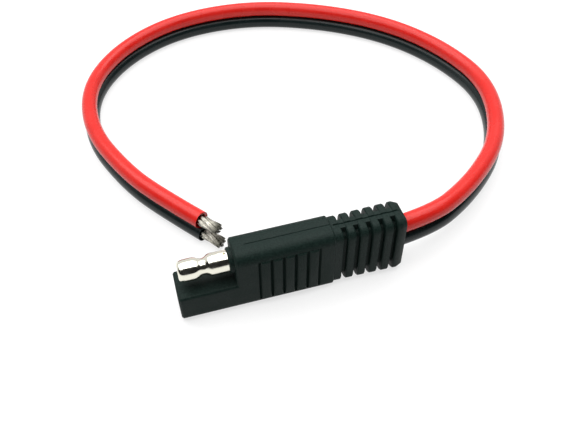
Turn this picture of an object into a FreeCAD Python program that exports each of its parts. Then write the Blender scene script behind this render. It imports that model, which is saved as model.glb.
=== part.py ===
"""Moulded two-pole quick-disconnect connector on a short red and black twin cord.

Frame, in millimetres: +X runs along the connector from its mating face to its cord exit, +Y through its
thickness and +Z up. The origin is under the middle of the connector, on the surface it stands on.
"""
import FreeCAD, Part
import math
import os

from FreeCAD import Vector

# ---- Driving dimensions, in mm ----------------------------------------------------------------------

# The one-piece black moulding: nose, then grip body, then strain relief.
nose_length = 12.0
body_length = 20.6
relief_length = 15.15
body_width = 7.8
body_height = 15.6
nose_height = 7.75
body_edge_radius = 2.3
nose_top_edge_radius = 0.6
front_chamfer = 0.35

# The two contacts. A mating connector is this one turned over, so both axes sit alike about mid-height.
contact_diameter = 4.6
contact_edge_offset = 3.8
pin_tip_setback = 0.9
pin_tip_face_radius = 1.6
pin_tip_bulge = 0.25
pin_tip_length = 1.8
pin_waist_radius = 1.66
pin_waist_start = 2.8
pin_waist_middle = 5.2
pin_waist_end = 7.0
pin_mark_from_shoulder = 1.5
pin_mark_diameter = 0.6
pin_mark_depth = 0.9
collar_radius = 2.7
collar_height = 0.9
collar_chamfer = 0.2
sleeve_outer_radius = 2.7
sleeve_inner_radius = 2.31
sleeve_setback = 1.1
sleeve_slot_width = 0.45
sleeve_slot_length = 6.5
sleeve_clearance = 0.15
sleeve_floor_from_shoulder = 1.2
sleeve_back_from_shoulder = 0.5
stem_radius = 2.6
stem_overlap = 0.4
mouth_radius = 2.55
mouth_lead_in = 0.5
flange_radius = 2.6
flange_length = 1.0
barrel_radius = 2.1
barrel_bore_depth = 5.2
barrel_clearance = 0.1
flange_from_carrier_front = 1.0
barrel_past_carrier = 0.6
core_end_gap = 0.2

# The inner pre-moulding that holds the contacts while the black plastic is moulded round them.
carrier_width = 6.0
carrier_wall = 0.9
carrier_setback = 1.5
carrier_length = 8.0
carrier_edge_radius = 0.8

# Grip: upright pads on both sides of the body, with a groove cut on each side of every pad.
grip_count = 5
grip_pitch = 2.5
grip_start = 4.7
grip_gap = 0.5
grip_groove_width = 0.6
grip_groove_depth = 0.45
grip_proud = 0.3
grip_root_depth = 0.6
grip_low = 1.9
grip_high = 13.6

# Strain relief: ribs on a core, with a spine along the narrow faces.
relief_start_inset = 0.4
relief_end_inset_y = 0.1
relief_end_inset_z = 0.3
relief_edge_radius = 1.9
rib_count = 6
groove_pitch = 2.61
groove_width = 0.95
first_groove = 2.15
rib_chamfer = 0.22
end_chamfer_length = 1.2
end_chamfer_depth = 0.55
core_width = 5.0
core_inset_z = 1.75
core_edge_radius = 1.2
core_taper = 0.3
spine_width = 2.2
spine_inset = 0.1
relief_root = 0.5
parting_start = 2.6
parting_widens = 0.4
parting_width_body = 0.2
parting_width_relief = 0.4
parting_depth = 0.4

# The twin cord: two stranded copper conductors in bonded jackets, red over black.
cord_diameter = 4.0
cord_pitch = 4.02
conductor_diameter = 2.7
jacket_bore_clearance = 0.05
strip_length = 4.9
black_extra_length = 1.0
bunch_count = 7
bunch_diameter = 0.88
bunch_gap = 0.02
lead_bend_start = 0.5
lead_bend_end = 6.5

# Where the black conductor's middle runs. The red one lies on it, one cord pitch higher.
cord_exit_z = body_height / 2 - cord_pitch / 2
cord_rest_z = cord_diameter / 2
black_route = [
    (10.0, 0.0, cord_exit_z),
    (29.5, 0.0, cord_exit_z),
    (45.5, 9.0, 4.0),
    (60.0, 23.0, 2.4),
    (67.5, 43.0, cord_rest_z),
    (63.5, 61.5, cord_rest_z),
    (53.5, 78.0, cord_rest_z),
    (37.5, 91.0, cord_rest_z),
    (17.0, 100.0, cord_rest_z),
    (-5.0, 100.0, cord_rest_z),
    (-22.5, 91.0, cord_rest_z),
    (-34.0, 75.5, cord_rest_z),
    (-35.5, 56.5, cord_rest_z),
    (-29.0, 38.5, cord_rest_z),
    (-22.0, 27.0, cord_rest_z),
    (-14.8, 17.5, cord_rest_z),
]
arc_share_of_run = 0.45

# ---- Places that follow from the dimensions -----------------------------------------------------------

connector_length = nose_length + body_length + relief_length
nose_face_x = -connector_length / 2
shoulder_x = nose_face_x + nose_length
relief_x = shoulder_x + body_length
exit_x = relief_x + relief_length
socket_z = contact_edge_offset
pin_z = body_height - contact_edge_offset
collar_x = shoulder_x - collar_height
carrier_x = shoulder_x + carrier_setback
flange_x = carrier_x + flange_from_carrier_front
barrel_end_x = carrier_x + carrier_length + barrel_past_carrier
X_AXIS = Vector(1, 0, 0)


# ---- Building blocks ----------------------------------------------------------------------------------

def section(x, half_width, low, high, low_radius, high_radius):
    """Closed outline across X: a rectangle whose two lower and two upper corners are rounded."""
    w = half_width
    lift = 1 - math.sqrt(0.5)
    corners = [
        (w, low, low_radius, -1, 1),
        (w, high, high_radius, -1, -1),
        (-w, high, high_radius, 1, -1),
        (-w, low, low_radius, 1, 1),
    ]
    joints = []
    for index, (y, z, r, toward_y, toward_z) in enumerate(corners):
        along_y = Vector(x, y + toward_y * r, z)
        along_z = Vector(x, y, z + toward_z * r)
        middle = Vector(x, y + toward_y * r * lift, z + toward_z * r * lift)
        first, last = (along_y, along_z) if index % 2 == 0 else (along_z, along_y)
        joints.append((first, middle, last))
    edges = []
    for index, (first, middle, last) in enumerate(joints):
        edges.append(Part.Arc(first, middle, last).toShape())
        following = joints[(index + 1) % len(joints)][0]
        edges.append(Part.LineSegment(last, following).toShape())
    return Part.Wire(edges)


def loft(wires):
    """Solid through the outlines, with straight sides between them."""
    return Part.makeLoft(wires, True, True)


def block(x0, x1, y0, y1, z0, z1):
    """Box between two corners."""
    return Part.makeBox(x1 - x0, y1 - y0, z1 - z0, Vector(x0, y0, z0))


def rod(x0, x1, z, radius):
    """Round rod along X at height z."""
    return Part.makeCylinder(radius, x1 - x0, Vector(x0, 0, z), X_AXIS)


def turned(edges, z):
    """Solid of revolution about the X line at height z, from edges drawn above that line."""
    face = Part.Face(Part.Wire(edges))
    return face.revolve(Vector(0, 0, z), X_AXIS, 360)


def rounded_path(points):
    """Straight runs joined by tangent arcs; returns the wire and the radius of each arc."""
    knots = [Vector(*point) for point in points]
    edges, radii = [], []
    start = knots[0]
    for before, corner, after in zip(knots, knots[1:], knots[2:]):
        run_in = corner - before
        run_out = after - corner
        turn = run_in.getAngle(run_out)
        trim = arc_share_of_run * min(run_in.Length, run_out.Length)
        radius = trim / math.tan(turn / 2)
        run_in.normalize()
        run_out.normalize()
        inward = run_out - run_in
        inward.normalize()
        centre = corner + inward * (radius / math.cos(turn / 2))
        arc_start = corner - run_in * trim
        arc_end = corner + run_out * trim
        edges.append(Part.LineSegment(start, arc_start).toShape())
        edges.append(Part.Arc(arc_start, centre - inward * radius, arc_end).toShape())
        radii.append(radius)
        start = arc_end
    edges.append(Part.LineSegment(start, knots[-1]).toShape())
    return Part.Wire(edges), radii


def tube(name, points, diameter):
    """Round solid along a path of runs and arcs; prints its radii and compares its volume."""
    path, radii = rounded_path(points)
    start = Vector(*points[0])
    ring = Part.Wire(Part.Circle(start, Vector(*points[1]) - start, diameter / 2).toShape())
    solid = path.makePipeShell([ring], True, False)
    expected = math.pi * diameter ** 2 / 4 * path.Length
    print(f"{name}: length {path.Length:.1f}, radii {min(radii):.1f} to {max(radii):.1f},"
          f" volume / (section x length) {solid.Volume / expected:.4f}")
    return solid


# ---- Moulding -----------------------------------------------------------------------------------------

def grip_body():
    """Body with its chamfered front edge, and the nose under the pin."""
    w, h, r, c = body_width / 2, body_height, body_edge_radius, front_chamfer
    body = loft([
        section(shoulder_x, w - c, c, h - c, r - c, r - c),
        section(shoulder_x + c, w, 0, h, r, r),
        section(relief_x - c, w, 0, h, r, r),
        section(relief_x, w - c, c, h - c, r - c, r - c),
    ])
    top = nose_top_edge_radius
    nose = loft([
        section(nose_face_x, w - c, c, nose_height - c, r - c, top - c),
        section(nose_face_x + c, w, 0, nose_height, r, top),
        section(shoulder_x + 2, w, 0, nose_height, r, top),
    ])
    collar = rod(collar_x + collar_chamfer, shoulder_x + 1, pin_z, collar_radius)
    collar_lip = Part.makeCone(collar_radius - collar_chamfer, collar_radius, collar_chamfer,
                               Vector(collar_x, 0, pin_z), X_AXIS)
    return body.fuse([nose, collar, collar_lip])


def grip_pads():
    """Upright pads on both side faces, with sloping flanks."""
    pads = []
    for index in range(grip_count):
        x0 = shoulder_x + grip_start + index * grip_pitch + grip_gap / 2
        x1 = x0 + grip_pitch - grip_gap
        for side in (-1, 1):
            outlines = []
            for y, inset in ((body_width / 2 - grip_root_depth, 0), (body_width / 2, 0),
                             (body_width / 2 + grip_proud, grip_proud)):
                corners = [
                    Vector(x0 + inset, side * y, grip_low + inset),
                    Vector(x1 - inset, side * y, grip_low + inset),
                    Vector(x1 - inset, side * y, grip_high - inset),
                    Vector(x0 + inset, side * y, grip_high - inset),
                ]
                outlines.append(Part.makePolygon(corners + corners[:1]))
            pads.append(loft(outlines))
    return pads


def grip_grooves():
    """V-shaped grooves in both side faces, before, between and after the pads."""
    cuts = []
    half = grip_groove_width / 2
    surface = body_width / 2
    for index in range(grip_count + 1):
        x = shoulder_x + grip_start + index * grip_pitch
        for side in (-1, 1):
            outlines = []
            for z in (grip_low, grip_high):
                corners = [
                    Vector(x - half, side * (surface + 1), z),
                    Vector(x - half, side * surface, z),
                    Vector(x, side * (surface - grip_groove_depth), z),
                    Vector(x + half, side * surface, z),
                    Vector(x + half, side * (surface + 1), z),
                ]
                outlines.append(Part.makePolygon(corners + corners[:1]))
            cuts.append(loft(outlines))
    return cuts


def relief_outline(x, inset):
    """Outer outline of the tapering strain relief at x."""
    share = (x - relief_x) / relief_length
    side = relief_start_inset + share * (relief_end_inset_y - relief_start_inset) + inset
    edge = relief_start_inset + share * (relief_end_inset_z - relief_start_inset) + inset
    r = relief_edge_radius - inset
    return section(x, body_width / 2 - side, edge, body_height - edge, r, r)


def strain_relief():
    """Chamfered ribs on a slimmer core, with a spine that joins them above and below."""
    pieces = []
    rib_start = relief_x - relief_root
    for index in range(rib_count):
        groove_middle = relief_x + first_groove + index * groove_pitch
        rib_end = groove_middle - groove_width / 2
        bevel_length, bevel_depth = rib_chamfer, rib_chamfer
        if index == rib_count - 1:
            rib_end = exit_x
            bevel_length, bevel_depth = end_chamfer_length, end_chamfer_depth
        pieces.append(loft([
            relief_outline(rib_start, rib_chamfer),
            relief_outline(rib_start + rib_chamfer, 0),
            relief_outline(rib_end - bevel_length, 0),
            relief_outline(rib_end, bevel_depth),
        ]))
        rib_start = groove_middle + groove_width / 2
    pieces.append(loft([
        section(x, core_width / 2, low, body_height - low, core_edge_radius, core_edge_radius)
        for x, low in ((relief_x - relief_root, core_inset_z), (exit_x - rib_chamfer, core_inset_z + core_taper))
    ]))
    spine = loft([relief_outline(x, spine_inset) for x in (relief_x - relief_root, exit_x - end_chamfer_length)])
    spine_slab = block(relief_x - 1, exit_x, -spine_width / 2, spine_width / 2, 0, body_height)
    pieces.append(spine.common(spine_slab))
    return pieces


def parting_grooves():
    """Seam where the two halves of the mould met, along the narrow top and bottom faces."""
    cuts = []
    spans = [
        (shoulder_x + parting_start, relief_x + parting_widens, parting_width_body, 0.0),
        (relief_x + parting_widens, exit_x + 1, parting_width_relief, relief_end_inset_z),
    ]
    for x0, x1, width, end_inset in spans:
        inner = parting_depth if end_inset else parting_depth / 2
        start_inset = relief_start_inset if end_inset else 0
        half = width / 2
        for base, toward in ((0, 1), (body_height, -1)):
            outlines = []
            for x, inset in ((x0, start_inset), (x1, end_inset)):
                surface = base + toward * inset
                corners = [
                    Vector(x, -half, surface - toward * 1.0),
                    Vector(x, half, surface - toward * 1.0),
                    Vector(x, half, surface),
                    Vector(x, 0, surface + toward * inner),
                    Vector(x, -half, surface),
                ]
                outlines.append(Part.makePolygon(corners + corners[:1]))
            cuts.append(loft(outlines))
    return cuts


def socket_hollow():
    """Round hollow in the nose: a lead-in, the mouth, and room for the sleeve to spring in."""
    mouth = rod(nose_face_x - 1, nose_face_x + sleeve_setback, socket_z, mouth_radius)
    lead_in = Part.makeCone(mouth_radius + mouth_lead_in, mouth_radius, mouth_lead_in,
                            Vector(nose_face_x, 0, socket_z), X_AXIS)
    room = rod(nose_face_x + sleeve_setback, shoulder_x - sleeve_back_from_shoulder, socket_z,
               sleeve_outer_radius + sleeve_clearance)
    return [mouth, lead_in, room]


# ---- Inner parts --------------------------------------------------------------------------------------

def barrel(z):
    """Shank, flange and crimp barrel that both contacts share, without the wire hole."""
    flange = rod(flange_x, flange_x + flange_length, z, flange_radius)
    shank = rod(collar_x - stem_overlap, barrel_end_x, z, barrel_radius)
    return [flange, shank]


def wire_hole(z):
    """Hole in the end of a crimp barrel."""
    radius = conductor_diameter / 2 + barrel_clearance
    return rod(barrel_end_x - barrel_bore_depth, barrel_end_x + 1, z, radius)


def pin_contact():
    """Bullet pin with a domed tip and a waist, turned in one piece with its crimp barrel."""
    r = contact_diameter / 2
    tip_x = nose_face_x + pin_tip_setback
    base_x = collar_x
    z = pin_z

    def above(x, radius):
        return Vector(x, 0, z + radius)

    dome = Part.BezierCurve()
    dome.setPoles([above(tip_x, pin_tip_face_radius), above(tip_x + pin_tip_bulge, r),
                   above(tip_x + pin_tip_length, r)])
    waist = Part.BSplineCurve()
    along = Vector(1, 0, 0)
    waist.interpolate(
        Points=[above(tip_x + pin_waist_start, r), above(tip_x + pin_waist_middle, pin_waist_radius),
                above(tip_x + pin_waist_end, r)],
        Tangents=[along, along, along],
        TangentFlags=[True, True, True],
    )
    edges = [
        Part.LineSegment(above(tip_x, 0), above(tip_x, pin_tip_face_radius)).toShape(),
        dome.toShape(),
        Part.LineSegment(above(tip_x + pin_tip_length, r), above(tip_x + pin_waist_start, r)).toShape(),
        waist.toShape(),
        Part.LineSegment(above(tip_x + pin_waist_end, r), above(base_x, r)).toShape(),
        Part.LineSegment(above(base_x, r), above(base_x, 0)).toShape(),
        Part.LineSegment(above(base_x, 0), above(tip_x, 0)).toShape(),
    ]
    mark = Part.makeCylinder(pin_mark_diameter / 2, 2,
                             Vector(shoulder_x - pin_mark_from_shoulder, 0, z + r - pin_mark_depth))
    return turned(edges, z).fuse(barrel(z)).cut(wire_hole(z)).cut(mark).removeSplitter()


def socket_contact():
    """Slotted spring sleeve that takes the other connector's pin, with its crimp barrel."""
    x0 = nose_face_x + sleeve_setback
    back_x = shoulder_x - sleeve_back_from_shoulder
    sleeve = rod(x0, back_x, socket_z, sleeve_outer_radius)
    stem = rod(back_x - stem_overlap, shoulder_x + stem_overlap, socket_z, stem_radius)
    hollow = rod(x0 - 1, shoulder_x - sleeve_floor_from_shoulder, socket_z, sleeve_inner_radius)
    half = sleeve_slot_width / 2
    reach = sleeve_outer_radius + 1
    slot = block(x0 - 1, x0 + sleeve_slot_length, -half, half, socket_z - reach, socket_z + reach)
    whole = sleeve.fuse([stem] + barrel(socket_z)).cut([wire_hole(socket_z)])
    return whole.cut([hollow, slot]).removeSplitter()


def contact_carrier(contacts):
    """Pre-moulded block round the flanges and barrels, which sets the pitch of the contacts."""
    outline = [carrier_width / 2, carrier_wall, body_height - carrier_wall,
               carrier_edge_radius, carrier_edge_radius]
    solid = loft([section(x, *outline) for x in (carrier_x, carrier_x + carrier_length)])
    return solid.cut(contacts + [wire_hole(pin_z), wire_hole(socket_z)])


def conductor(name, contact_z, cord_z_lift, extra):
    """Copper core from its crimp barrel to the stripped end, drawn as one rod inside the jacket."""
    route = [(x, y, z + cord_z_lift) for x, y, z in lengthened(black_route, extra)]
    inner = [
        (barrel_end_x - barrel_bore_depth + core_end_gap, 0.0, contact_z),
        (lead_bend_start, 0.0, contact_z),
        (lead_bend_end, 0.0, route[0][2]),
    ]
    return tube(name, inner + route[1:], conductor_diameter)


def jacket(name, cord_z_lift, extra):
    """Hollow jacket along the route."""
    route = [(x, y, z + cord_z_lift) for x, y, z in lengthened(black_route, extra)]
    bore = conductor_diameter + 2 * jacket_bore_clearance
    return tube(name, route, cord_diameter), tube(name + " bore", route, bore)


def lengthened(route, extra):
    """The route with its last run made longer."""
    before, last = Vector(*route[-2]), Vector(*route[-1])
    onward = last - before
    onward.normalize()
    end = last + onward * extra
    return route[:-1] + [(end.x, end.y, end.z)]


def bare_bunches(cord_z_lift, extra):
    """Seven bunches of strands that stand out of the stripped end, six round one."""
    route = lengthened(black_route, extra)
    before, last = Vector(*route[-2]), Vector(*route[-1])
    onward = last - before
    onward.normalize()
    sideways = Vector(-onward.y, onward.x, 0)
    start = last + Vector(0, 0, cord_z_lift)
    solids = []
    for index in range(bunch_count):
        offset = Vector(0, 0, 0)
        if index > 0:
            angle = 2 * math.pi * (index - 1) / (bunch_count - 1)
            reach = bunch_diameter + bunch_gap
            offset = sideways * (reach * math.cos(angle)) + Vector(0, 0, reach * math.sin(angle))
        solids.append(Part.makeCylinder(bunch_diameter / 2, strip_length, start + offset, onward))
    return solids


# ---- Assembly -----------------------------------------------------------------------------------------

pin = pin_contact()
socket = socket_contact()
carrier = contact_carrier([pin, socket])
red_lift = cord_pitch
red_core = conductor("red conductor", pin_z, red_lift, 0)
black_core = conductor("black conductor", socket_z, 0, black_extra_length)
carrier = carrier.cut([red_core, black_core])
red_tube, red_bore = jacket("red jacket", red_lift, 0)
black_tube, black_bore = jacket("black jacket", 0, black_extra_length)

moulding = grip_body().cut(grip_grooves()).fuse(grip_pads() + strain_relief()).removeSplitter()
moulding = moulding.cut(socket_hollow() + parting_grooves())
moulding = moulding.cut([pin, socket, carrier, red_core, black_core, red_tube, black_tube])

nodes = {
    "overmould": moulding,
    "contact_carrier": carrier,
    "pin_contact": pin,
    "socket_contact": socket,
    "red_conductor": red_core,
    "black_conductor": black_core,
    "red_jacket": red_tube.cut(red_bore),
    "black_jacket": black_tube.cut(black_bore),
}
for colour, lift, extra in (("red", red_lift, 0), ("black", 0, black_extra_length)):
    for number, solid in enumerate(bare_bunches(lift, extra), start=1):
        nodes[f"{colour}_strand_bunch_{number}"] = solid

os.makedirs("parts", exist_ok=True)
for name, shape in nodes.items():
    box = shape.BoundBox
    print(f"{name}: valid {shape.isValid()}, solids {len(shape.Solids)}, volume {shape.Volume:.1f},"
          f" x {box.XMin:.1f}..{box.XMax:.1f} y {box.YMin:.1f}..{box.YMax:.1f} z {box.ZMin:.1f}..{box.ZMax:.1f}")
    shape.exportStep(f"parts/{name}.step")
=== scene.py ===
# %% [markdown]
# # A two-pole quick-disconnect connector on a short twin cord
# The connector is a flexible PVC moulding with one bare bullet pin and one shrouded socket. A bonded red and
# black cord leaves its ribbed end, makes one loose loop and comes back to the front, where both wires are
# stripped for a joint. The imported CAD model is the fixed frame: it is loaded first, and each new piece goes
# where that frame says.

# %% Load the frame
import math
import random

import bpy
from mathutils import Matrix, Vector


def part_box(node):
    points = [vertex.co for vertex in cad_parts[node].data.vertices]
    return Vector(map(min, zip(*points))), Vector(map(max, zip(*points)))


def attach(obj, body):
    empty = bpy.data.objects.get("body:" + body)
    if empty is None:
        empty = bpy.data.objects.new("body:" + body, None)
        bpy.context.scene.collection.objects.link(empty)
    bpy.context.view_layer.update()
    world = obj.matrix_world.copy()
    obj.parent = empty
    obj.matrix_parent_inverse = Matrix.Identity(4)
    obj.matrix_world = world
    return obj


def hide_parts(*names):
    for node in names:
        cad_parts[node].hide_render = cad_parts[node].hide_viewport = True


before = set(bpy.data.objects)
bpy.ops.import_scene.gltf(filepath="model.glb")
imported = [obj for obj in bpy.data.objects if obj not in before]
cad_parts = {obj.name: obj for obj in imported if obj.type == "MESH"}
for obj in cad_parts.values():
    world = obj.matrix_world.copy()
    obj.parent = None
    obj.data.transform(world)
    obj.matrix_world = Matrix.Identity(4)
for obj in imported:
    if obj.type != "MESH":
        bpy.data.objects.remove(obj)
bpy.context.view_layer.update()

mm = 0.001

# %% [markdown]
# ## The camera
# The camera stands above the connector and a little to its left, so that the nose, the pin and the long
# side show together, and the loop of cord lies behind. It looks at a point on the table. It is turned a few
# degrees about its own axis, and a small shift slides the picture without changing the perspective.

# %% Place the camera
camera_azimuth = math.radians(-11.7)
camera_elevation = math.radians(47.4)
camera_roll = math.radians(-4.0)
camera_distance = 161.5 * mm
aim_point = Vector((-4.05 * mm, 20.3 * mm, 0.0))

backward = Vector((math.sin(camera_azimuth) * math.cos(camera_elevation),
                   -math.cos(camera_azimuth) * math.cos(camera_elevation),
                   math.sin(camera_elevation)))
level = Vector((math.cos(camera_azimuth), math.sin(camera_azimuth), 0.0))
upward = backward.cross(level)
turn = Matrix((level, upward, backward)).transposed() @ Matrix.Rotation(camera_roll, 3, "Z")

camera_data = bpy.data.cameras.new("studio_camera")
camera_data.sensor_width = 36.0
camera_data.lens = 42.55
camera_data.shift_x = 0.080
camera_data.shift_y = -0.0023
camera_data.clip_start = 1 * mm
camera = bpy.data.objects.new("studio_camera", camera_data)
camera.matrix_world = Matrix.Translation(aim_point + backward * camera_distance) @ turn.to_4x4()
bpy.context.scene.collection.objects.link(camera)
bpy.context.scene.camera = camera
print("camera at", [round(v / mm, 1) for v in camera.location], "mm")

# %% [markdown]
# ## The route of the cord
# The cord's line is one smooth NURBS curve for each wire. Its control points are the design's own route,
# in millimetres: straight out of the strain relief, down to the table, round the loop and back. Red lies on
# black all the way, one cord pitch higher. Each line goes on past the end of its jacket, because the bare
# wire carries straight on. The black wire was snipped a little longer than the red one.

# %% Read the two centrelines
cord_diameter = 4.0 * mm
cord_pitch = 4.02 * mm
strip_length = 4.9 * mm
black_extra = 0.6 * mm
exit_z = 5.79
rest_z = 2.0
black_route = [
    (10.0, 0.0, exit_z), (29.5, 0.0, exit_z), (45.5, 9.0, 4.0), (60.0, 23.0, 2.4),
    (67.5, 43.0, rest_z), (63.5, 61.5, rest_z), (53.5, 78.0, rest_z), (37.5, 91.0, rest_z),
    (17.0, 100.0, rest_z), (-5.0, 100.0, rest_z), (-22.5, 91.0, rest_z), (-34.0, 75.5, rest_z),
    (-35.5, 56.5, rest_z), (-29.0, 38.5, rest_z), (-22.0, 27.0, rest_z), (-14.8, 17.5, rest_z),
]


def route_in_metres(lift, extra):
    """The route raised by lift, with its last run made longer by extra."""
    points = [Vector(point) * mm + Vector((0, 0, lift)) for point in black_route]
    onward = (points[-1] - points[-2]).normalized()
    points[-1] = points[-1] + onward * extra
    return points


def centreline(points):
    """Closely spaced points on the smooth NURBS spline that has these control points."""
    curve = bpy.data.curves.new("route", "CURVE")
    curve.dimensions = "3D"
    curve.resolution_u = 24
    spline = curve.splines.new("NURBS")
    spline.points.add(len(points) - 1)
    for place, point in zip(spline.points, points):
        place.co = (*point, 1.0)
    spline.order_u = 3
    spline.use_endpoint_u = True
    holder = bpy.data.objects.new("route", curve)
    mesh = bpy.data.meshes.new_from_object(holder)
    line = [vertex.co.copy() for vertex in mesh.vertices]
    bpy.data.objects.remove(holder)
    bpy.data.meshes.remove(mesh)
    return line


def length_of(line):
    """Length of a line of points."""
    return sum((b - a).length for a, b in zip(line, line[1:]))


red_line = centreline(route_in_metres(cord_pitch, strip_length))
black_line = centreline(route_in_metres(0.0, black_extra + strip_length))
print("wires:", round(length_of(red_line) / mm, 1), "and", round(length_of(black_line) / mm, 1), "mm")

# %% [markdown]
# ## Walking along a line
# Jackets, cores and strands all follow these lines, so three small tools serve them all. One gives the point
# at a distance along a line, and one cuts a stretch out of it. The third sets a closed outline square to the
# line at each of its points and keeps it upright, because the red wire has to stay over the black one.

# %% Tools for following a line
closest_spacing = 0.05 * mm


def point_at(line, distance):
    """The point at a distance along the line, and the direction there."""
    for a, b in zip(line, line[1:]):
        step = (b - a).length
        if distance <= step or b is line[-1]:
            return a.lerp(b, distance / step), (b - a).normalized()
        distance -= step


def stretch(line, start, end):
    """The part of the line between two distances."""
    kept, travelled = [point_at(line, start)[0]], 0.0
    for a, b in zip(line, line[1:]):
        travelled += (b - a).length
        if start + closest_spacing < travelled < end - closest_spacing:
            kept.append(b.copy())
    return kept + [point_at(line, end)[0]]


def rings_along(line, outline):
    """The outline, a list of (sideways, up) places, set square to the line at each of its points."""
    rings = []
    for index, centre in enumerate(line):
        ahead = line[min(index + 1, len(line) - 1)] - line[max(index - 1, 0)]
        sideways = ahead.cross(Vector((0, 0, 1))).normalized()
        up = sideways.cross(ahead).normalized()
        rings.append([centre + sideways * y + up * z for y, z in outline])
    return rings


print("the red wire starts at", [round(v / mm, 2) for v in point_at(red_line, 0.0)[0]], "mm")

# %% [markdown]
# ## From rings to a piece
# A row of rings becomes a closed skin when each ring is joined to the next and both ends are capped. The
# finished piece has its faces turned outwards, and it is shaded smooth wherever it bends gently.

# %% Tools for making a piece
def round_outline(radius, count):
    """Points of a circle."""
    angles = [2 * math.pi * index / count for index in range(count)]
    return [(radius * math.sin(angle), radius * math.cos(angle)) for angle in angles]


def skin_faces(ring_count, size, first=0):
    """Faces of a closed skin over rings of the same size, with a cap at each end."""
    faces = []
    for ring in range(ring_count - 1):
        for index in range(size):
            following = (index + 1) % size
            a, b = first + ring * size, first + (ring + 1) * size
            faces.append((a + index, b + index, b + following, a + following))
    last = first + (ring_count - 1) * size
    faces.append(tuple(first + index for index in range(size)))
    faces.append(tuple(last + index for index in reversed(range(size))))
    return faces


def deselect_all():
    """Leave nothing selected, because operators act on all that is."""
    for item in bpy.context.selected_objects:
        item.select_set(False)


def make_active(piece):
    """Select one piece alone."""
    deselect_all()
    piece.select_set(True)
    bpy.context.view_layer.objects.active = piece


def finished_mesh(name, vertices, faces, crease=30):
    """A new piece from vertices and faces, its faces outwards and its surface smooth up to the crease."""
    mesh = bpy.data.meshes.new(name)
    mesh.from_pydata(vertices, [], faces)
    piece = bpy.data.objects.new(name, mesh)
    bpy.context.scene.collection.objects.link(piece)
    make_active(piece)
    bpy.ops.object.mode_set(mode="EDIT")
    bpy.ops.mesh.select_all(action="SELECT")
    bpy.ops.mesh.normals_make_consistent(inside=False)
    bpy.ops.object.mode_set(mode="OBJECT")
    bpy.ops.object.shade_smooth_by_angle(angle=math.radians(crease))
    return piece


print("a closed skin of 2 rings of 6 has", len(skin_faces(2, 6)), "faces")

# %% [markdown]
# ## The two jackets
# A bonded twin cord comes out of one extruder head: two round PVC jackets that touch along a narrow flat,
# where the hot plastics fuse. Each jacket is swept from a circle with a small flat on its bonded side. At
# the stripped end the cut slants a little, as a wire stripper leaves it, its edge is slightly rounded, and
# the wall shows round the bore. A UV map carries the distance along the cord and the share of the way round,
# so that the faint lines of the extrusion can follow the bends.

# %% Make the jackets
jacket_wall_radius = cord_diameter / 2
bore_radius = 1.40 * mm
bore_depth = 8.0 * mm
cut_edge_radius = 0.10 * mm
cut_slant = 0.32
bond_half_width = 0.55 * mm
jacket_sides = 48


def jacket_outline(bond):
    """A circle with a flat where it is bonded; bond is -1 for a flat below and 1 for one above."""
    outline = []
    for y, z in round_outline(jacket_wall_radius, jacket_sides):
        if abs(y) < bond_half_width and z * bond > 0:
            z = bond * cord_pitch / 2
        outline.append((y, z))
    return outline


def cut_end(last_ring, line):
    """The stripped end: the last ring drawn back, the slanted cut face, its bore and the bore's far end."""
    end = line[-1]
    onward = (end - line[-2]).normalized()
    inner = rings_along([end - onward, end, end + onward], round_outline(bore_radius, jacket_sides))[1]
    outer = [point - onward * cut_edge_radius for point in last_ring]
    face = [end + (point - end) * (1 - cut_edge_radius / jacket_wall_radius) for point in last_ring]
    # The jacket is cut back furthest on its lower side, towards the right of the wire's own direction.
    cut_side = (onward.cross(Vector((0, 0, 1))) - Vector((0, 0, 1))).normalized()
    for ring in (outer, face, inner):
        for index, point in enumerate(ring):
            across = max(0.0, (point - end).dot(cut_side) + jacket_wall_radius)
            ring[index] = point - onward * across * cut_slant
    return [outer, face, inner, [point - onward * bore_depth for point in inner]]


def lay_uv_map(piece, line, ring_count):
    """Millimetres along the cord, and the share of the way round it."""
    travelled, marks = 0.0, []
    for index in range(ring_count):
        if 0 < index < len(line):
            travelled += (line[index] - line[index - 1]).length
        marks.append(travelled)
    layer = piece.data.uv_layers.new(name="UVMap")
    for polygon in piece.data.polygons:
        seam = any(piece.data.loops[k].vertex_index % jacket_sides == jacket_sides - 1
                   for k in polygon.loop_indices)
        for k in polygon.loop_indices:
            ring, side = divmod(piece.data.loops[k].vertex_index, jacket_sides)
            if side == 0 and seam and len(polygon.vertices) == 4:
                side = jacket_sides
            layer.data[k].uv = (marks[ring] / mm, side / jacket_sides)


def jacket(name, line, bond):
    """Hollow jacket along the line, with its wall showing at the stripped end."""
    rings = rings_along(line, jacket_outline(bond))
    rings = rings[:-1] + cut_end(rings[-1], line)
    vertices = [point for ring in rings for point in ring]
    piece = finished_mesh(name, vertices, skin_faces(len(rings), jacket_sides))
    lay_uv_map(piece, line, len(rings))
    return piece


red_jacket_line = stretch(red_line, 0.0, length_of(red_line) - strip_length)
black_jacket_line = stretch(black_line, 0.0, length_of(black_line) - strip_length)
red_jacket = jacket("jacket_red", red_jacket_line, -1)
black_jacket = jacket("jacket_black", black_jacket_line, 1)
for piece in (red_jacket, black_jacket):
    print(piece.name, len(piece.data.polygons), "faces")

# %% [markdown]
# ## The conductors
# Inside each jacket runs a rope of tinned copper. It starts in the crimp barrel of its contact, leads over to
# the level of the cord inside the moulding, and fills the bore. Only its end shows, so the hidden length is
# one round core, and the stripped end is made of real strands.

# %% Make the cores
core_diameter = 2.66 * mm
core_sides = 24
core_hidden_end = 1.2 * mm
barrel_overlap = 5.0 * mm
lead_leaves_x = 0.5 * mm
lead_arrives_x = 6.5 * mm


def middle_height(node):
    """Height of the middle of a CAD node."""
    low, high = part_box(node)
    return (low.z + high.z) / 2


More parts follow.
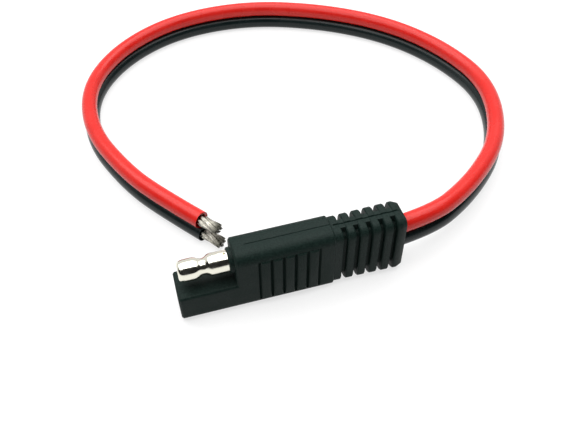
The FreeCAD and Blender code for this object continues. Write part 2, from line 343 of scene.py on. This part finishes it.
def core(name, line, contact):
    """Round core from inside the contact's barrel to just inside the cut of the jacket."""
    barrel_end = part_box(contact)[1].x
    contact_z = middle_height(contact)
    start = line[0]
    lead = centreline([Vector((barrel_end - barrel_overlap, 0, contact_z)),
                       Vector((lead_leaves_x, 0, contact_z)),
                       Vector((lead_arrives_x, 0, start.z)), start])
    whole = lead[:-1] + stretch(line, 0.0, length_of(line) - core_hidden_end)
    rings = rings_along(whole, round_outline(core_diameter / 2, core_sides))
    vertices = [point for ring in rings for point in ring]
    return finished_mesh(name, vertices, skin_faces(len(rings), core_sides))


red_core = core("core_red", red_jacket_line, "pin_contact")
black_core = core("core_black", black_jacket_line, "socket_contact")
for contact in ("pin_contact", "socket_contact"):
    print(contact, "has its middle", round(middle_height(contact) / mm, 2), "mm up")

# %% [markdown]
# The wire is rope-laid: seven bunches, six round one, and seven strands in each. Every strand is a helix on a
# helix. One full turn of the rope takes 26 mm, so over the short bare end the strands run almost straight.
# Cut with pliers, the ends are uneven and spring apart a little, so each strand gets its own length and
# drift, and the bunches spread towards the tip. An attribute grows from 0 at the jacket to 1 at the tip, and
# the finish reads it to make the strands darker towards their tips.

# %% Make the strand bunches
strand_diameter = 0.285 * mm
strand_sides = 8
strand_steps = 20
bunch_reach = 0.90 * mm
rope_lay = 26.0 * mm
bunch_lay = 17.0 * mm
end_spread = 0.06
cut_unevenness = 0.25 * mm
end_drift = 0.06 * mm
strand_start_inside = 2.0 * mm
bunches_per_wire = 7
strands_per_bunch = 7
sixth_turn = math.pi / 3


def bunch(name, line, number, chance):
    """Seven twisted strands of one bunch; bunch 0 runs along the middle."""
    whole = length_of(line)
    bare_start = whole - strip_length
    vertices, faces, towards_tip = [], [], []
    for strand in range(strands_per_bunch):
        tip = whole - chance.uniform(0, cut_unevenness)
        drift = Vector((chance.uniform(-1, 1), chance.uniform(-1, 1), chance.uniform(-1, 1))) * end_drift
        course = []
        for step in range(strand_steps + 1):
            travelled = bare_start - strand_start_inside
            travelled += (tip - bare_start + strand_start_inside) * step / strand_steps
            middle, ahead = point_at(line, travelled)
            sideways = ahead.cross(Vector((0, 0, 1))).normalized()
            up = sideways.cross(ahead)
            out = max(0.0, (travelled - bare_start) / strip_length)
            rope_turn = 2 * math.pi * (travelled - bare_start) / rope_lay + sixth_turn * number
            bunch_turn = 2 * math.pi * (travelled - bare_start) / bunch_lay + sixth_turn * strand
            reach = 0.0 if number == 0 else bunch_reach * (1 + end_spread * out ** 2)
            place = middle + (sideways * math.sin(rope_turn) + up * math.cos(rope_turn)) * reach
            if strand > 0:
                place += (sideways * math.sin(bunch_turn) + up * math.cos(bunch_turn)) * strand_diameter
            course.append(place + drift * out ** 2)
            towards_tip += [out] * strand_sides
        rings = rings_along(course, round_outline(strand_diameter / 2, strand_sides))
        faces += skin_faces(len(rings), strand_sides, len(vertices))
        vertices += [point for ring in rings for point in ring]
    piece = finished_mesh(name, vertices, faces, crease=50)
    marks = piece.data.attributes.new("towards_tip", "FLOAT", "POINT")
    marks.data.foreach_set("value", towards_tip)
    return piece


bunches = {}
for wire, line, seed in (("red", red_line, 3), ("black", black_line, 8)):
    chance = random.Random(seed)
    bunches[wire] = [bunch(f"strands_{wire}_{number + 1}", line, number, chance)
                     for number in range(bunches_per_wire)]
print(sum(len(piece.data.polygons) for wire in bunches.values() for piece in wire), "faces in the strands")

# %% [markdown]
# Both ends are bare: the wires are stripped, ready for a joint. The new jackets, cores and strands join the
# root body, and the CAD nodes they stand for are hidden.

for wire, piece, line, inner in (("red", red_jacket, red_jacket_line, red_core),
                                 ("black", black_jacket, black_jacket_line, black_core)):
    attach(piece, "root")
    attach(inner, "root")
    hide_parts(f"{wire}_jacket")
    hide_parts(f"{wire}_conductor")
    for number, strands in enumerate(bunches[wire], start=1):
        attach(strands, "root")
        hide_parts(f"{wire}_strand_bunch_{number}")

# %% [markdown]
# ## The moulding and the contacts
# These keep the design's own shape. A CAD node is loose triangles, so a copy is merged into one skin first,
# flat areas lose their inner edges, and a narrow bevel rounds the edges as the mould does. Then the surface
# is shaded smooth wherever it turns gently.

# %% Merge and soften copies of the CAD pieces
merge_distance = 0.001 * mm
flat_within = math.radians(0.2)


def softened_copy(node, name, edge_radius, sharp=28):
    """One merged skin from a CAD node, with rounded edges."""
    piece = bpy.data.objects.new(name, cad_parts[node].data.copy())
    bpy.context.scene.collection.objects.link(piece)
    make_active(piece)
    bpy.ops.mesh.customdata_custom_splitnormals_clear()
    bpy.ops.object.mode_set(mode="EDIT")
    bpy.ops.mesh.select_all(action="SELECT")
    bpy.ops.mesh.remove_doubles(threshold=merge_distance)
    bpy.ops.mesh.dissolve_limited(angle_limit=flat_within)
    bpy.ops.object.mode_set(mode="OBJECT")
    bevel = piece.modifiers.new("rounded edges", "BEVEL")
    bevel.width = edge_radius
    bevel.segments = 2
    bevel.limit_method = "ANGLE"
    bevel.angle_limit = math.radians(sharp)
    bpy.ops.object.modifier_apply(modifier=bevel.name)
    bpy.ops.object.shade_smooth_by_angle(angle=math.radians(sharp))
    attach(piece, "root")
    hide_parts(node)
    print(name, len(piece.data.polygons), "faces")
    return piece


moulding = softened_copy("overmould", "moulding", 0.10 * mm)
pin = softened_copy("pin_contact", "bullet_pin", 0.03 * mm)
socket = softened_copy("socket_contact", "spring_socket", 0.03 * mm)
carrier = softened_copy("contact_carrier", "carrier_block", 0.05 * mm)

# %% [markdown]
# ## Finishes
# Colours are written as the sRGB codes a designer would note down, and one function turns them into the
# linear values that the renderer adds and multiplies. A second small function adds a node with its settings,
# values and links.

# %% Colour and node tools
def colour(code):
    """Linear red, green, blue and alpha from an sRGB hex code."""
    channels = [int(code[start:start + 2], 16) / 255 for start in (1, 3, 5)]
    linear = [c / 12.92 if c <= 0.04045 else ((c + 0.055) / 1.055) ** 2.4 for c in channels]
    return (*linear, 1.0)


def add_node(tree, kind, settings=None, inputs=None):
    """A node with its settings; each input is a value or another node's output."""
    node = tree.nodes.new(kind)
    for name, value in (settings or {}).items():
        setattr(node, name, value)
    for name, value in (inputs or {}).items():
        if isinstance(value, bpy.types.NodeSocket):
            tree.links.new(value, node.inputs[name])
        else:
            node.inputs[name].default_value = value
    return node


def new_finish(name, **values):
    """A material, its node tree and its shader, with the even values set on the shader's own sockets."""
    material = bpy.data.materials.new(name)
    material.use_nodes = True
    shader = material.node_tree.nodes["Principled BSDF"]
    for socket_name, value in values.items():
        shader.inputs[socket_name.replace("_", " ")].default_value = value
    return material, material.node_tree, shader


def wear(piece, material):
    """Give a piece one material all over."""
    piece.data.materials.clear()
    piece.data.materials.append(material)


FACTOR, COLOUR_A, COLOUR_B, MIXED = 0, 6, 7, 2
print("finish tools ready")

# %% [markdown]
# ### Black moulded PVC
# The moulding is soft PVC, injected round the crimped wires. Its mould was spark-eroded, which leaves a fine
# matt grain, so the surface has a wide, dull sheen. Handling leaves slightly glossier and slightly dusty
# patches, about 4 mm across. The real grain is about 0.05 mm, and it is drawn six times as coarse so that it
# can be seen.

# %% Black moulded PVC
def moulded_pvc():
    """Satin black PVC with spark-eroded grain."""
    material, tree, shader = new_finish("moulded_flexible_PVC_black", IOR=1.53, Specular_IOR_Level=0.08)
    place = add_node(tree, "ShaderNodeTexCoord").outputs["Object"]
    patches = add_node(tree, "ShaderNodeTexNoise", None,
                       {"Vector": place, "Scale": 1 / (4.0 * mm), "Detail": 3.0})
    grain = add_node(tree, "ShaderNodeTexNoise", None,
                     {"Vector": place, "Scale": 1 / (0.3 * mm), "Detail": 3.0})
    speckle = add_node(tree, "ShaderNodeMapRange", None,
                       {"Value": grain.outputs["Fac"], "From Min": 0.35, "From Max": 0.65})
    shade = add_node(tree, "ShaderNodeMix", {"data_type": "RGBA"},
                     {FACTOR: patches.outputs["Fac"],
                     COLOUR_A: colour("#07110F"), COLOUR_B: colour("#0D1C19")})
    tint = add_node(tree, "ShaderNodeMix", {"data_type": "RGBA"},
                    {FACTOR: speckle.outputs["Result"],
                     COLOUR_A: shade.outputs[MIXED], COLOUR_B: colour("#162420")})
    dull = add_node(tree, "ShaderNodeMapRange", None,
                    {"Value": patches.outputs["Fac"],
                     "From Min": 0.3, "From Max": 0.7, "To Min": 0.42, "To Max": 0.56})
    bump = add_node(tree, "ShaderNodeBump", None,
                    {"Height": grain.outputs["Fac"], "Strength": 0.7, "Distance": 0.05 * mm})
    tree.links.new(tint.outputs[MIXED], shader.inputs["Base Color"])
    tree.links.new(dull.outputs["Result"], shader.inputs["Roughness"])
    tree.links.new(bump.outputs["Normal"], shader.inputs["Normal"])
    return material


wear(moulding, moulded_pvc())
print("moulding wears", moulding.data.materials[0].name)

# %% [markdown]
# ### Bright nickel
# The contacts are turned brass with bright nickel plating. The lathe leaves rings round the pin, which the
# plating only partly fills, and they draw the highlights out sideways. The rings are drawn 0.12 mm apart and
# very shallow, and fingers leave smudges of about 1.2 mm. A metal keeps the shader's usual IOR.

# %% Bright nickel plating
def nickel():
    """Bright nickel over turned brass."""
    material, tree, shader = new_finish("bright_nickel_plate", Metallic=1.0, Base_Color=colour("#E2E0D2"))
    place = add_node(tree, "ShaderNodeTexCoord").outputs["Object"]
    stretched = add_node(tree, "ShaderNodeMapping", None, {"Vector": place, "Scale": (1.0, 0.02, 0.02)})
    rings = add_node(tree, "ShaderNodeTexNoise", None,
                     {"Vector": stretched.outputs["Vector"], "Scale": 1 / (0.12 * mm), "Detail": 2.0})
    smudges = add_node(tree, "ShaderNodeTexNoise", None,
                       {"Vector": place, "Scale": 1 / (1.2 * mm), "Detail": 4.0})
    gloss = add_node(tree, "ShaderNodeMapRange", None,
                     {"Value": smudges.outputs["Fac"],
                      "From Min": 0.35, "From Max": 0.7, "To Min": 0.10, "To Max": 0.22})
    bump = add_node(tree, "ShaderNodeBump", None,
                    {"Height": rings.outputs["Fac"], "Strength": 0.3, "Distance": 0.004 * mm})
    tree.links.new(gloss.outputs["Result"], shader.inputs["Roughness"])
    tree.links.new(bump.outputs["Normal"], shader.inputs["Normal"])
    return material


plate = nickel()
wear(pin, plate)
wear(socket, plate)
print("both contacts wear", plate.name)

# %% [markdown]
# ### Tinned copper
# Tinned strands are silvery grey, with duller blotches of about half a millimetre where the tin is thin. They
# are darker towards the cut tips.

# %% Tinned copper
def tinned_copper():
    """Tin-coated copper strands, silvery near the jacket and dull at the tips."""
    material, tree, shader = new_finish("tinned_copper_strand", Metallic=1.0)
    place = add_node(tree, "ShaderNodeTexCoord").outputs["Object"]
    dulling = add_node(tree, "ShaderNodeTexNoise", None,
                       {"Vector": place, "Scale": 1 / (0.5 * mm), "Detail": 3.0})
    tint = add_node(tree, "ShaderNodeMix", {"data_type": "RGBA"},
                    {FACTOR: dulling.outputs["Fac"],
                     COLOUR_A: colour("#5E5A50"), COLOUR_B: colour("#E4E1D6")})
    rough = add_node(tree, "ShaderNodeMapRange", None,
                     {"Value": dulling.outputs["Fac"],
                      "From Min": 0.3, "From Max": 0.7, "To Min": 0.30, "To Max": 0.16})
    along = add_node(tree, "ShaderNodeAttribute", {"attribute_name": "towards_tip"}).outputs["Fac"]
    # The strand colour is made darker towards the cut tips.
    tip_darkening = add_node(tree, "ShaderNodeMapRange", {"interpolation_type": "SMOOTHSTEP"},
                       {"Value": along, "From Min": 0.45, "From Max": 1.0, "To Min": 0.0, "To Max": 0.85})
    tip_darkened_tint = add_node(tree, "ShaderNodeMix", {"data_type": "RGBA"},
                    {FACTOR: tip_darkening.outputs["Result"],
                     COLOUR_A: tint.outputs[MIXED], COLOUR_B: colour("#3A392E")})
    tree.links.new(tip_darkened_tint.outputs[MIXED], shader.inputs["Base Color"])
    tree.links.new(rough.outputs["Result"], shader.inputs["Roughness"])
    return material


tin = tinned_copper()
for piece in [red_core, black_core] + bunches["red"] + bunches["black"]:
    wear(piece, tin)
print("cores and strands wear", tin.name)

# %% [markdown]
# ### Natural nylon
# The carrier is unpigmented nylon, which is milky and matt, with soft clouds of about 2 mm. It is nearly
# all hidden inside the moulding.

# %% Natural nylon
def natural_nylon():
    """Unpigmented nylon, milky and matt."""
    material, tree, shader = new_finish("natural_nylon", IOR=1.53)
    place = add_node(tree, "ShaderNodeTexCoord").outputs["Object"]
    cloud = add_node(tree, "ShaderNodeTexNoise", None,
                     {"Vector": place, "Scale": 1 / (2.0 * mm), "Detail": 3.0})
    tint = add_node(tree, "ShaderNodeMix", {"data_type": "RGBA"},
                    {FACTOR: cloud.outputs["Fac"], COLOUR_A: colour("#CFC8B4"), COLOUR_B: colour("#E2DDCD")})
    rough = add_node(tree, "ShaderNodeMapRange", None,
                     {"Value": cloud.outputs["Fac"], "To Min": 0.45, "To Max": 0.65})
    tree.links.new(tint.outputs[MIXED], shader.inputs["Base Color"])
    tree.links.new(rough.outputs["Result"], shader.inputs["Roughness"])
    return material


wear(carrier, natural_nylon())
print("carrier wears", carrier.data.materials[0].name)

# %% [markdown]
# ### Extruded PVC
# The jackets are glossy extruded PVC: smooth along the cord, with faint lines left by the die. The lines
# are stretched in the UV map, where one unit along is a millimetre and one unit round is the whole way
# round. Handling dulls the gloss in patches of about 6 mm.

# %% Extruded PVC jackets
def jacket_pvc(name, deep, light):
    """Glossy extruded PVC with faint lines along the cord."""
    material, tree, shader = new_finish(name, IOR=1.53, Specular_IOR_Level=0.22)
    along = add_node(tree, "ShaderNodeUVMap", {"uv_map": "UVMap"}).outputs["UV"]
    stretched = add_node(tree, "ShaderNodeMapping", None, {"Vector": along, "Scale": (0.05, 60.0, 1.0)})
    lines = add_node(tree, "ShaderNodeTexNoise", None,
                     {"Vector": stretched.outputs["Vector"], "Scale": 1.0, "Detail": 3.0})
    place = add_node(tree, "ShaderNodeTexCoord").outputs["Object"]
    handling = add_node(tree, "ShaderNodeTexNoise", None,
                        {"Vector": place, "Scale": 1 / (6.0 * mm), "Detail": 4.0})
    tint = add_node(tree, "ShaderNodeMix", {"data_type": "RGBA"},
                    {FACTOR: handling.outputs["Fac"], COLOUR_A: colour(deep), COLOUR_B: colour(light)})
    rough = add_node(tree, "ShaderNodeMapRange", None,
                     {"Value": handling.outputs["Fac"],
                      "From Min": 0.3, "From Max": 0.7, "To Min": 0.20, "To Max": 0.32})
    bump = add_node(tree, "ShaderNodeBump", None,
                    {"Height": lines.outputs["Fac"], "Strength": 0.25, "Distance": 0.02 * mm})
    tree.links.new(tint.outputs[MIXED], shader.inputs["Base Color"])
    tree.links.new(rough.outputs["Result"], shader.inputs["Roughness"])
    tree.links.new(bump.outputs["Normal"], shader.inputs["Normal"])
    return material


wear(red_jacket, jacket_pvc("extruded_PVC_red", "#B41B16", "#C4241D"))
wear(black_jacket, jacket_pvc("extruded_PVC_black", "#0C1617", "#142020"))
print("jackets wear", [piece.data.materials[0].name for piece in (red_jacket, black_jacket)])

# %% [markdown]
# ## The studio
# Small bright parts are shown on a light table: a sheet of white acrylic that glows from below, so that the
# shadows stay faint. One broad soft light hangs overhead. The wall behind is bright and the wall in front is
# dark, and polished metal mirrors that dark wall as a band along the pin. A thin bright line at the horizon
# keeps the background white from every side. The table is so wide that its edge is far away.

# %% Table, light and surroundings
table_size = 12.0
table_gap = 0.02 * mm
bpy.ops.mesh.primitive_plane_add(size=table_size, location=(0, 0, -table_gap))
table = bpy.context.object
table.name = "table"
acrylic = new_finish("matt_white_acrylic_sheet", Roughness=0.9, Base_Color=colour("#8C8C8C"),
                     Emission_Color=colour("#FFFFFF"), Emission_Strength=0.7)[0]
wear(table, acrylic)

softbox_data = bpy.data.lights.new("softbox", "AREA")
softbox_data.shape = "RECTANGLE"
softbox_data.size = 0.70
softbox_data.size_y = 0.48
softbox_data.energy = 4.0
softbox = bpy.data.objects.new("softbox", softbox_data)
softbox.location = (0.0, 0.11, 0.35)
bpy.context.scene.collection.objects.link(softbox)

world = bpy.data.worlds.new("tent")
bpy.context.scene.world = world
world.use_nodes = True
sky = world.node_tree
direction = add_node(sky, "ShaderNodeTexCoord").outputs["Generated"]
axes = add_node(sky, "ShaderNodeSeparateXYZ", None, {"Vector": direction})
walls = add_node(sky, "ShaderNodeMapRange", {"interpolation_type": "SMOOTHSTEP"},
                 {"Value": axes.outputs["Y"],
                  "From Min": 0.0, "From Max": 0.45, "To Min": 0.02, "To Max": 0.9})
horizon = add_node(sky, "ShaderNodeMapRange", {"interpolation_type": "SMOOTHSTEP"},
                   {"Value": axes.outputs["Z"],
                    "From Min": 0.045, "From Max": 0.085, "To Min": 0.9, "To Max": 0.0})
brightness = add_node(sky, "ShaderNodeMath", {"operation": "MAXIMUM"},
                      {0: walls.outputs["Result"], 1: horizon.outputs["Result"]})
sky.links.new(brightness.outputs["Value"], sky.nodes["Background"].inputs["Strength"])
sky.nodes["Background"].inputs["Color"].default_value = colour("#FFFFFF")
bpy.context.scene.view_settings.view_transform = "Standard"
print("table", table_size, "m wide, softbox", softbox_data.energy, "W")
